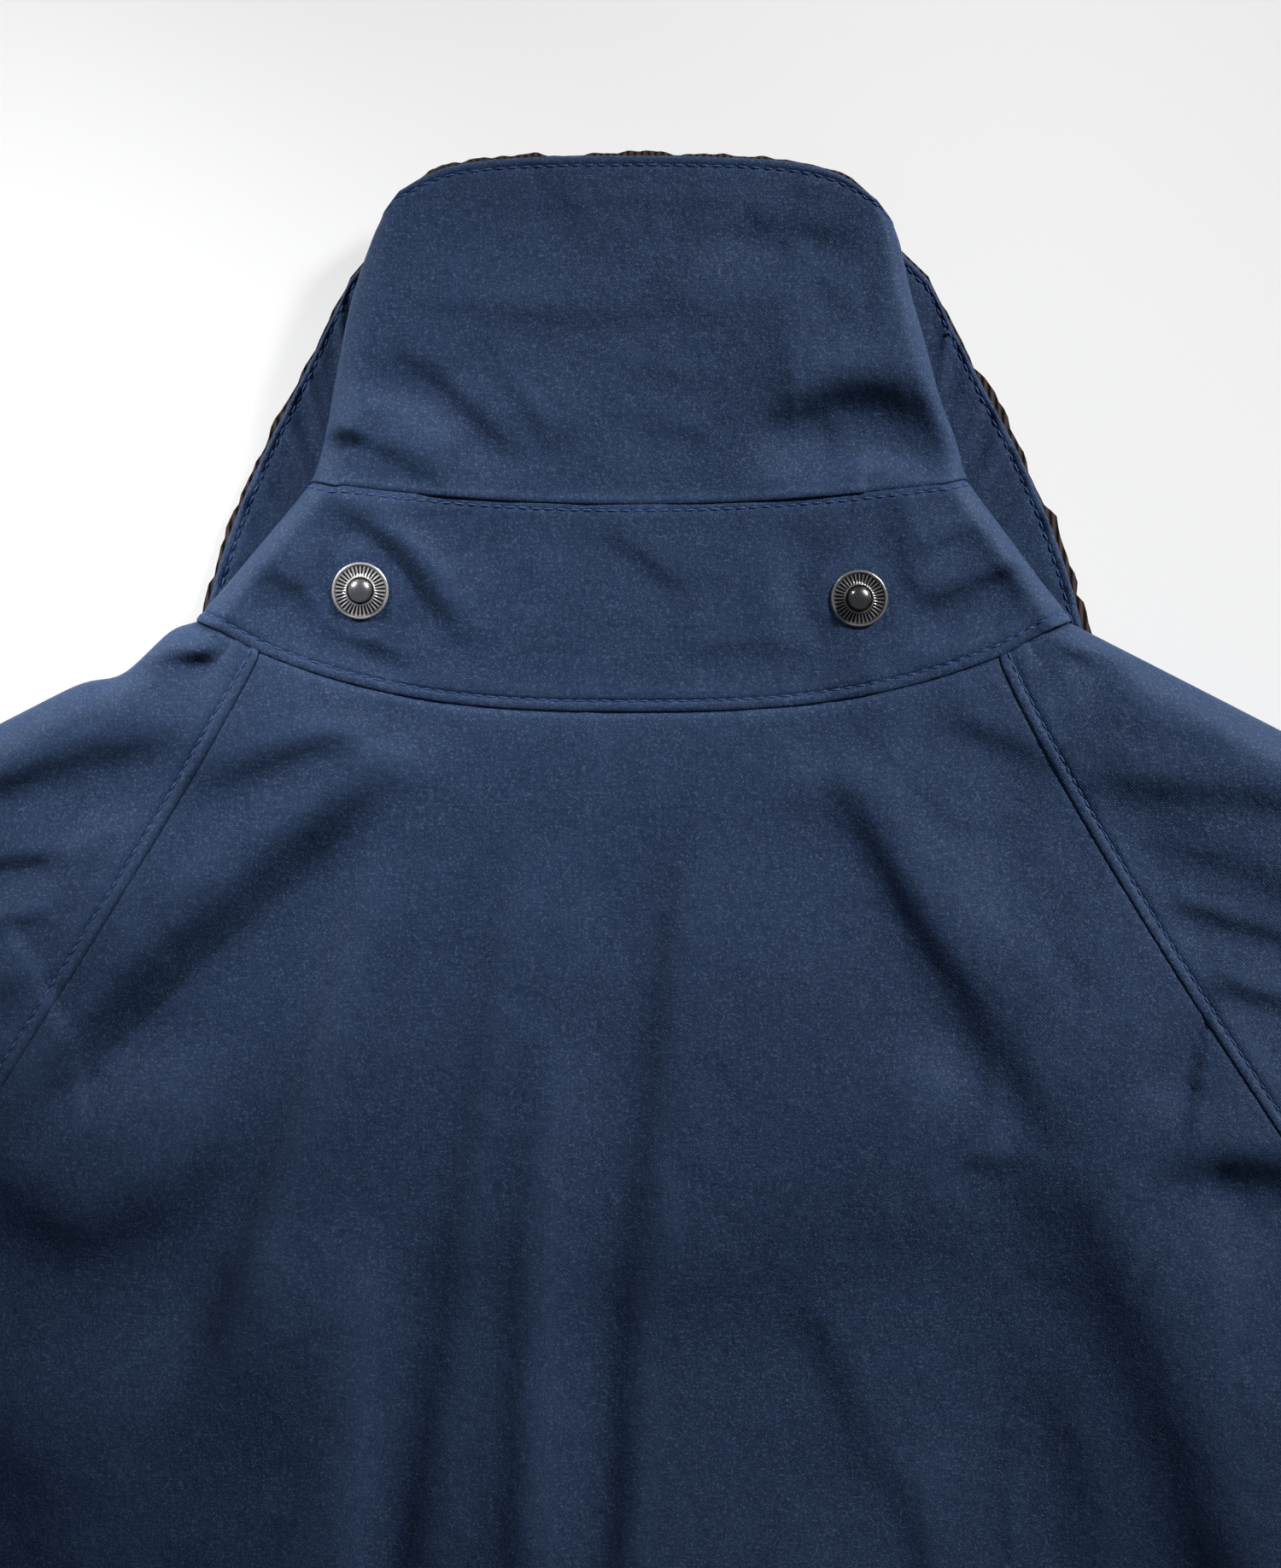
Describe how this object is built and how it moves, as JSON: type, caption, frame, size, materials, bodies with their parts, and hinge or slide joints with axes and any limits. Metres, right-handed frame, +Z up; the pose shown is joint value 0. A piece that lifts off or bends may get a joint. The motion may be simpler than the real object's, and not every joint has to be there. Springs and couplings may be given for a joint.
{
  "type": "waxed cotton jacket",
  "caption": "Hip-length waxed cotton jacket with raglan sleeves and a high corduroy-faced collar with press studs at the neck, laid flat face down.",
  "frame": {"origin": "middle of the jacket's outline, on the surface that it lies on", "axes": "+Y from the hem towards the collar, +X towards the wearer's right side, +Z up, out of the jacket's back"},
  "size_m": [1.3636, 0.8867, 0.0229],
  "materials": {
    "waxed_cotton": "waxed, dull sheen",
    "corduroy": "brushed pile",
    "bright_metal": "polished",
    "dark_metal": "gunmetal plating"
  },
  "bodies": {
    "root": {"back": "waxed_cotton", "sleeve_left": "waxed_cotton", "sleeve_right": "waxed_cotton", "front_left": "waxed_cotton", "front_right": "waxed_cotton", "collar_stand": "waxed_cotton", "collar_leaf": "waxed_cotton", "collar_facing": "corduroy", "stud_left": "bright_metal", "stud_right": "dark_metal", "cap_1": "dark_metal", "cap_2": "dark_metal", "cap_3": "dark_metal", "cap_4": "dark_metal", "cap_5": "dark_metal", "cap_6": "dark_metal"}
  },
  "joints": []
}
